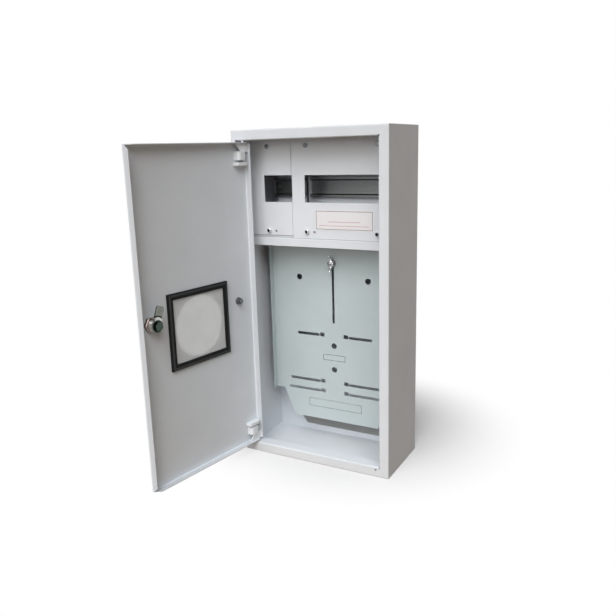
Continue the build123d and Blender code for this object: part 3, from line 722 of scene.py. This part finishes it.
# %% Hub and wings
nut_low, nut_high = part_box("wing_nut")
hub_long = 0.0075
hub_inset = 0.0009
hub_radius = (nut_high.x - nut_low.x) / 2
hub_middle = Vector((0, nut_high.y - hub_long / 2, (nut_low.z + nut_high.z) / 2))
wing_pulls = ((0.0045, 0.0015, 0.8, 0.95),  # outwards, forward, narrower, shorter
              (0.0050, 0.0056, 0.95, 0.9))
bpy.ops.object.select_all(action="DESELECT")
bpy.ops.mesh.primitive_cylinder_add(vertices=16, radius=hub_radius, depth=hub_long,
                                    location=hub_middle, rotation=(math.pi / 2, 0, 0))
wing_nut = bpy.context.object
wing_nut.name = "wing_nut_cast"
bpy.ops.object.transform_apply(location=True, rotation=True, scale=True)
choose(wing_nut, "FACE", lambda face: abs(face.normal.y) > 0.9)
bpy.ops.mesh.inset(thickness=hub_inset)
bpy.ops.object.mode_set(mode="OBJECT")
for side in (-1, 1):
    choose(wing_nut, "FACE", lambda face: face.normal.z * side > 0.9)
    for outwards, forward, narrow, shorter in wing_pulls:
        pull = (0, -forward, side * outwards)
        bpy.ops.mesh.extrude_region_move(TRANSFORM_OT_translate={"value": pull})
        bpy.ops.transform.resize(value=(narrow, shorter, 1),
                                 center_override=(0, hub_middle.y - forward, 0))
    bpy.ops.object.mode_set(mode="OBJECT")
print("faces before the casting:", len(wing_nut.data.polygons))

# %% [markdown]
# A subdivision surface melts hub and wings together, and the bolt's hole is drilled last, so that
# its edge stays sharp.

# %% Melt and drill the wing nut
bolt_hole = 0.00206
casting = wing_nut.modifiers.new("casting", "SUBSURF")
casting.levels = 2
casting.render_levels = 2
bpy.ops.object.modifier_apply(modifier=casting.name)
cut_hole(wing_nut, bolt_hole, hub_middle)
close_up(wing_nut, bright_zinc_painted_glints)
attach(wing_nut, "wing_nut")
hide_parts("wing_nut")
spans = [(min(side), max(side)) for side in zip(*[v.co for v in wing_nut.data.vertices])]
print("wing nut, mm:", [tuple(round(1000 * end, 1) for end in span) for span in spans])
print("its solid, mm:", [round(1000 * side, 1) for side in (*nut_low, *nut_high)])

# %% [markdown]
# ## Bead of the window frame
# The rubber window frame has a raised bead round its outer third: a strip that is pressed into the
# profile and makes it grip the pane. In the photograph it is a paler line on the black. It could be
# drawn straight on the open door, but there nothing is square. So it is drawn on the shut door: a
# plane is inset to a ring, the ring is extruded, and a Bevel rounds it.

# %% Frame on the shut door
door_open = math.radians(-99)
pin = Vector(joints["door_hinge"]["pos_m"])
swing = Matrix.Translation(pin) @ Matrix.Rotation(door_open, 4, "Z") @ Matrix.Translation(-pin)
shut = [swing.inverted() @ vertex.co for vertex in nodes["window_gasket"].data.vertices]
shut_low = Vector([min(point[i] for point in shut) for i in range(3)])
shut_high = Vector([max(point[i] for point in shut) for i in range(3)])
shut_middle = (shut_low + shut_high) / 2
shut_size = shut_high - shut_low
print("window frame on the shut door, mm:", [round(1000 * side, 1) for side in shut_size])

# %% Ring of the bead
bead_in, bead_wide, bead_high = 0.0016, 0.0034, 0.0009
bpy.ops.object.select_all(action="DESELECT")
bpy.ops.mesh.primitive_plane_add(size=1, rotation=(-math.pi / 2, 0, 0),
                                 location=(shut_middle.x, shut_high.y, shut_middle.z))
bead = bpy.context.object
bead.name = "window_gasket_bead"
bead.scale = (shut_size.x - 2 * bead_in, shut_size.z - 2 * bead_in, 1)
bpy.ops.object.transform_apply(location=True, rotation=True, scale=True)
bpy.ops.object.mode_set(mode="EDIT")
bpy.ops.mesh.select_mode(type="FACE")
bpy.ops.mesh.select_all(action="SELECT")
bpy.ops.mesh.inset(thickness=bead_wide)
bpy.ops.mesh.delete(type="FACE")
bpy.ops.mesh.select_all(action="SELECT")
bpy.ops.mesh.extrude_region_move(TRANSFORM_OT_translate={"value": (0, bead_high, 0)})
bpy.ops.object.mode_set(mode="OBJECT")
print("faces of the sharp ring:", len(bead.data.polygons))

# %% [markdown]
# Then the ring is rounded and swung open with the door.

# %% Round and hang the bead
rounding = bead.modifiers.new("rounding", "BEVEL")
rounding.width = 0.4 * bead_high
rounding.segments = 3
bpy.ops.object.modifier_apply(modifier=rounding.name)
bead.matrix_world = swing
bpy.ops.object.transform_apply(location=True, rotation=True, scale=True)
close_up(bead, bead_rubber)
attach(bead, "door")
print("bead faces:", len(bead.data.polygons))

# %% [markdown]
# ## Threads
# The lock barrel, the earth stud and the hanger bolt are plain rods in the solids. On the real
# ones a rolled thread catches the light in fine rings. Rings would do from afar, but a thread is
# one small triangle led round the rod and along it, so a three-cornered circle is laid with one
# corner outwards, pressed flat and wound up by the Screw modifier. The lock's real pitch of one
# millimetre is too fine to show, so it is drawn half as coarse again.

# %% Winding a thread
ridge_share, ridge_flat = 0.55, 0.45


def wind(name, radius, pitch, turns):
    bpy.ops.object.select_all(action="DESELECT")
    bpy.ops.mesh.primitive_circle_add(vertices=3, radius=ridge_share * pitch, fill_type="NOTHING",
                                      location=(radius, 0, 0),
                                      rotation=(0, math.pi / 2, -math.pi / 2))
    ridge = bpy.context.object
    ridge.name = name
    bpy.ops.object.transform_apply(location=True, rotation=True, scale=True)
    bpy.ops.object.mode_set(mode="EDIT")
    bpy.ops.mesh.select_all(action="SELECT")
    bpy.ops.transform.resize(value=(ridge_flat, 1, 1), center_override=(radius, 0, 0))
    bpy.ops.object.mode_set(mode="OBJECT")
    winding = ridge.modifiers.new("winding", "SCREW")
    winding.screw_offset = pitch
    winding.iterations = turns
    winding.steps = 32
    winding.render_steps = 32
    bpy.ops.object.modifier_apply(modifier=winding.name)
    bpy.ops.object.mode_set(mode="EDIT")
    bpy.ops.mesh.select_all(action="SELECT")
    bpy.ops.mesh.fill_holes(sides=3)
    bpy.ops.mesh.normals_make_consistent(inside=False)
    bpy.ops.object.mode_set(mode="OBJECT")
    return ridge


lock_thread = wind("lock_thread", radius=0.009, pitch=0.0015, turns=5)
earth_thread = wind("earth_stud_thread", radius=0.003, pitch=0.001, turns=2)
bolt_thread = wind("hanger_bolt_thread", radius=0.002, pitch=0.0008, turns=2)
threads = (lock_thread, earth_thread, bolt_thread)
print("thread faces:", {ridge.name: len(ridge.data.polygons) for ridge in threads})

# %% [markdown]
# Each thread was wound upright at the origin. It is now turned to its rod's axis and moved to where
# the thread starts on the rod.

# %% Fit the threads
def fit(ridge, start, along, body, finish):
    take(ridge)
    ridge.rotation_euler = along.to_track_quat("Z", "Y").to_euler()
    ridge.location = start
    bpy.ops.object.transform_apply(location=True, rotation=True, scale=True)
    ridge.data.materials.append(finish)
    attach(ridge, body)


def middle(node):
    low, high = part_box(node)
    return (Vector(low) + Vector(high)) / 2


outward = Vector((0, -1, 0))
bolt_tip = middle("hanger_bolt")
bolt_tip.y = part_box("hanger_bolt")[0][1]
lock_start = lock_middle - 0.0009 * inward
earth_start = middle("earth_stud") + 0.0019 * inward
bolt_start = bolt_tip - 0.0023 * outward
fit(lock_thread, lock_start, inward, "door", bright)
fit(earth_thread, earth_start, inward, "door", dull_zinc)
fit(bolt_thread, bolt_start, outward, "hanger", bright_zinc_painted_glints)
print("threads start at:", [tuple(round(side, 4) for side in start)
                            for start in (lock_start, earth_start, bolt_start)])

# %% [markdown]
# ## Update
# The view layer is brought up to date after the additions. Nothing that was added may
# make the object larger.

# %% Update the view layer
bpy.context.view_layer.update()
